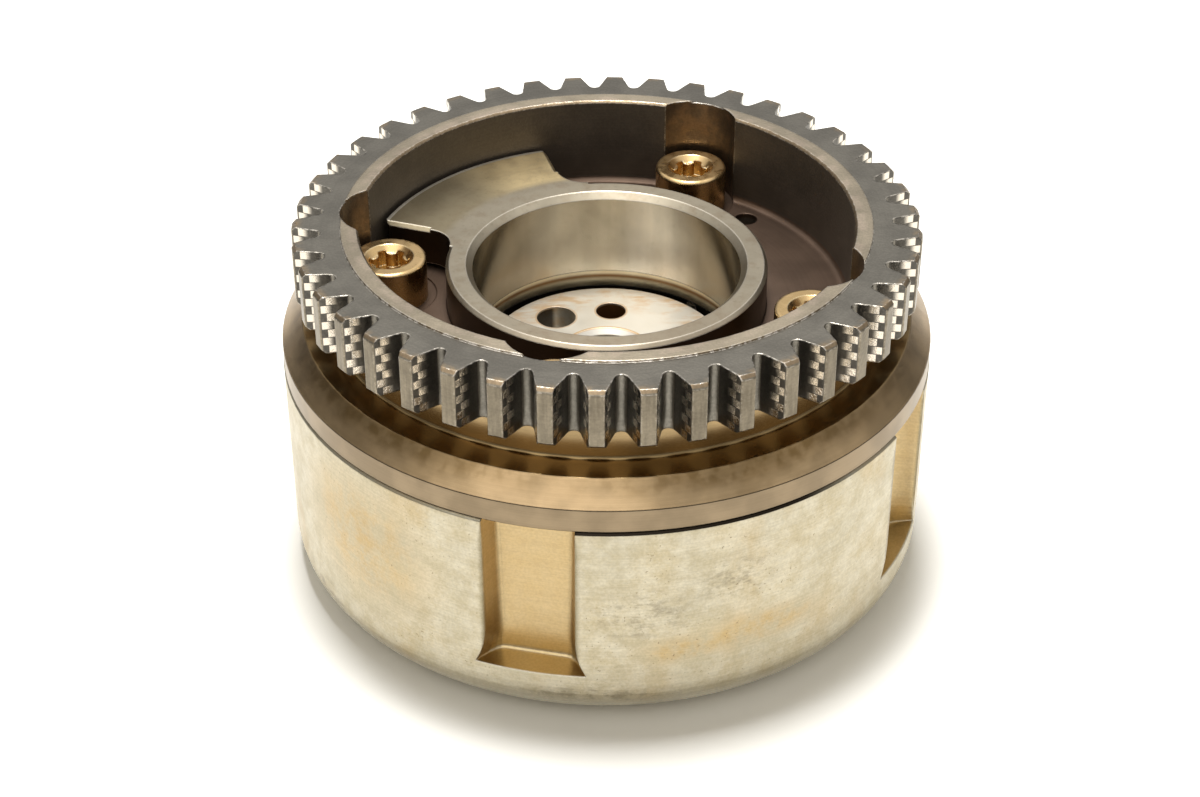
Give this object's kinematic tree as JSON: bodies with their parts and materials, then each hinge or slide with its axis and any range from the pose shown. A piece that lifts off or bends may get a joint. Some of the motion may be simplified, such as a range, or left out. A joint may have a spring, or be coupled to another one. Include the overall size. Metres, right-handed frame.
{
  "type": "cam phaser",
  "caption": "Vane-type cam phaser: toothed chain sprocket with a dished back bolted to a round cup, and a sprung-locked rotor with hub and sector swinging inside.",
  "frame": {"origin": "centre of the cup's closed end, on the plane it stands on", "axes": "+Z along the turning axis, from the closed end towards the camshaft; the camera's side of the picture is -Y"},
  "size_m": [0.09, 0.09, 0.0514],
  "materials": {
    "sprocket_steel": "oil-darkened sintered steel",
    "cup_steel": "satin, with oil varnish",
    "zinc_plated_steel": "yellow zinc plate",
    "hub_steel": "satin machined",
    "rotor_steel": "ground",
    "hardened_steel": "ground",
    "spring_steel": "bright drawn",
    "strip_plastic": "machined"
  },
  "bodies": {
    "stator": {"sprocket": "sprocket_steel", "housing_cup": "cup_steel", "cover_bolts": "zinc_plated_steel", "locating_dowel": "hardened_steel", "lock_pin_bush": "hardened_steel", "shoe_seal_1": "strip_plastic", "shoe_seal_2": "strip_plastic", "shoe_seal_3": "strip_plastic", "shoe_seal_4": "strip_plastic", "shoe_seal_spring_1": "spring_steel", "shoe_seal_spring_2": "spring_steel", "shoe_seal_spring_3": "spring_steel", "shoe_seal_spring_4": "spring_steel"},
    "rotor": {"rotor": "rotor_steel", "target_hub": "hub_steel", "lock_pin_spring": "spring_steel", "vane_seal_1": "strip_plastic", "vane_seal_2": "strip_plastic", "vane_seal_3": "strip_plastic", "vane_seal_4": "strip_plastic", "vane_seal_spring_1": "spring_steel", "vane_seal_spring_2": "spring_steel", "vane_seal_spring_3": "spring_steel", "vane_seal_spring_4": "spring_steel"},
    "lock_pin": {"lock_pin": "hardened_steel"}
  },
  "joints": [
    {"name": "rotor_swing", "type": "hinge", "parent": "stator", "child": "rotor", "pos_m": [0, 0, 0], "axis": [0, 0, 1], "range_deg": [-28, 0]},
    {"name": "lock_pin_slide", "type": "slide", "parent": "rotor", "child": "lock_pin", "axis": [0, 0, 1], "range_m": [-0.0012, 0], "stiffness_N_per_m": 200, "springref_m": 0.0006, "deforming": ["lock_pin_spring"]}
  ]
}
